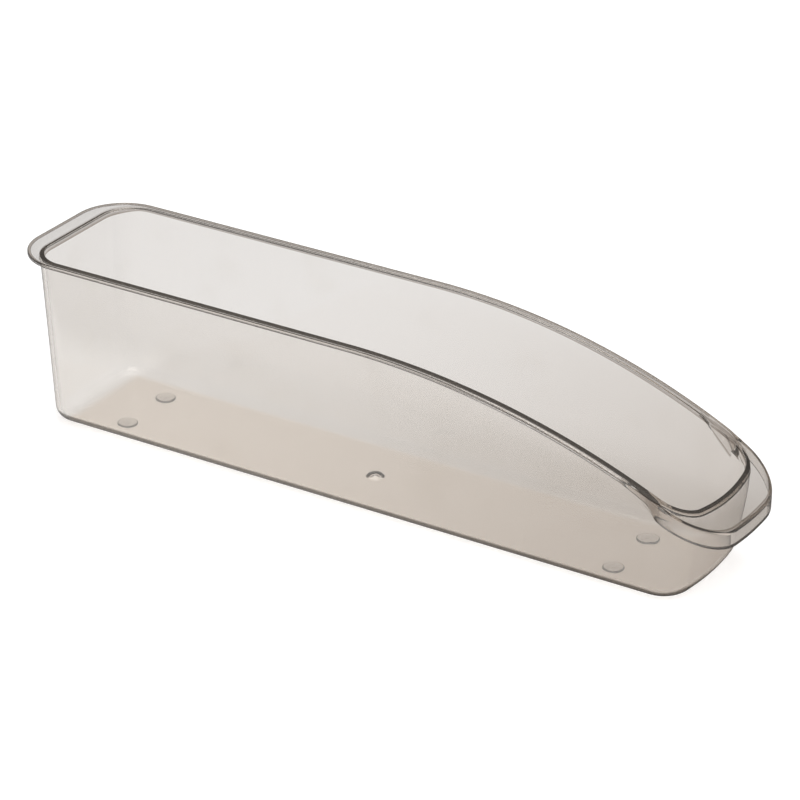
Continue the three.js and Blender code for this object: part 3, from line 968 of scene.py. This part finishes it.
class FRIDGEBIN_OT_stage(bpy.types.Operator):
    """Set out floor, backdrop light, lamps and camera"""

    bl_idname = "fridge_bin.stage"
    bl_label = "Stage"

    def execute(self, context):
        scene, looks = context.scene, context.scene.fridge_bin_looks
        corners = np.array([(-1, -1, 0), (1, -1, 0), (1, 1, 0), (-1, 1, 0)]) * FLOOR_HALF_SPAN
        corners[:, 2] = CAD_LOW.z - FLOOR_GAP
        floor = mesh_object("floor", corners, np.array([(0, 1, 2, 3)]), np.zeros((0, 3), int))
        floor.data.materials.append(floor_material(looks))
        self.world(scene, looks)
        for lamp in LAMPS:
            self.lamp(*lamp)
        self.camera(scene)
        scene.view_settings.view_transform = "Standard"
        return {"FINISHED"}

    @staticmethod
    def world(scene, looks):
        """White where the camera sees it, a dim room for gloss, and even fill for the rest.

        Through the plastic it is a white sweep with that room and a soft ceiling above.
        """
        world = bpy.data.worlds.new("studio")
        scene.world = world
        tree = cleared(world)
        nodes, links = tree.nodes, tree.links
        out = nodes.new("ShaderNodeOutputWorld")
        seen, room, fill = (nodes.new("ShaderNodeBackground") for _ in range(3))
        seen.inputs["Color"].default_value = (*looks.backdrop, 1)
        fill.inputs["Strength"].default_value = looks.fill_light
        place, split = nodes.new("ShaderNodeTexCoord"), nodes.new("ShaderNodeSeparateXYZ")
        links.new(place.outputs["Generated"], split.inputs["Vector"])
        tone = nodes.new("ShaderNodeValToRGB")
        steps = (
            (0.0, looks.sweep),
            (0.06, looks.sweep),
            (0.2, looks.room),
            (0.8, looks.room),
            (0.97, looks.ceiling),
        )
        while len(tone.color_ramp.elements) < len(steps):
            tone.color_ramp.elements.new(0.5)
        for element, (position, level) in zip(tone.color_ramp.elements, steps):
            element.position, element.color = position, (level, level, level, 1)
        links.new(split.outputs["Z"], tone.inputs["Fac"])
        path = nodes.new("ShaderNodeLightPath")
        through, mirrored = path.outputs["Is Transmission Ray"], path.outputs["Is Glossy Ray"]
        sight = mixed(tree, through, looks.gloss_room, tone.outputs["Color"])
        links.new(sight, room.inputs["Color"])
        either = worked_out(tree, "MAXIMUM", mirrored, through)
        bent = mixed_shaders(tree, either, fill.outputs["Background"], room.outputs["Background"])
        camera = path.outputs["Is Camera Ray"]
        shown = mixed_shaders(tree, camera, bent, seen.outputs["Background"])
        links.new(shown, out.inputs["Surface"])

    @staticmethod
    def lamp(name, place, size, power):
        """A square soft lamp aimed at the middle of the bin."""
        data = bpy.data.lights.new(name, "AREA")
        data.size, data.energy = size, power
        obj = bpy.data.objects.new(name, data)
        obj.location = place
        obj.rotation_euler = (-Vector(place)).to_track_quat("-Z", "Y").to_euler()
        bpy.context.scene.collection.objects.link(obj)

    @staticmethod
    def camera(scene):
        """The photograph's view: turned and raised round a point in the bin, slightly rolled."""
        azimuth, elevation, roll = -1.02485, 0.46142, 0.010916
        aim, distance = Vector((0.01845, 0.006052, 0.03436)), 1.69416
        level = math.cos(elevation)
        back = Vector((math.sin(azimuth) * level, -math.cos(azimuth) * level, math.sin(elevation)))
        right = Vector((math.cos(azimuth), math.sin(azimuth), 0))
        up = back.cross(right)
        across = right * math.cos(roll) + up * math.sin(roll)
        upright = up * math.cos(roll) - right * math.sin(roll)
        data = bpy.data.cameras.new("camera")
        data.sensor_width, data.lens = 36, 165.18
        obj = bpy.data.objects.new("camera", data)
        turn = Matrix((across, upright, back)).transposed().to_4x4()
        obj.matrix_world = Matrix.Translation(aim + back * distance) @ turn
        scene.collection.objects.link(obj)
        scene.camera = obj


class FRIDGEBIN_PT_panel(bpy.types.Panel):
    """Sidebar panel that lists the sizes, colours and build steps"""

    bl_label = "Fridge Bin"
    bl_space_type = "VIEW_3D"
    bl_region_type = "UI"
    bl_category = "Fridge Bin"

    def draw(self, context):
        layout = self.layout
        for group in (context.scene.fridge_bin_sizes, context.scene.fridge_bin_looks):
            for key in group.bl_rna.properties.keys():
                if key not in ("rna_type", "name"):
                    layout.prop(group, key)
        for step in STEPS:
            layout.operator(step.bl_idname)


STEPS = (FRIDGEBIN_OT_tub, FRIDGEBIN_OT_feet, FRIDGEBIN_OT_stage)
CLASSES = (BinSizes, BinLooks, *STEPS, FRIDGEBIN_PT_panel)


def register():
    for cls in CLASSES:
        bpy.utils.register_class(cls)
    bpy.types.Scene.fridge_bin_sizes = PointerProperty(type=BinSizes)
    bpy.types.Scene.fridge_bin_looks = PointerProperty(type=BinLooks)


def unregister():
    del bpy.types.Scene.fridge_bin_sizes
    del bpy.types.Scene.fridge_bin_looks
    for cls in reversed(CLASSES):
        bpy.utils.unregister_class(cls)


def main():
    """Registers the add-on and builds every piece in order."""
    register()
    bpy.ops.fridge_bin.tub()
    bpy.ops.fridge_bin.feet()
    bpy.ops.fridge_bin.stage()


if __name__ == "__main__":
    main()
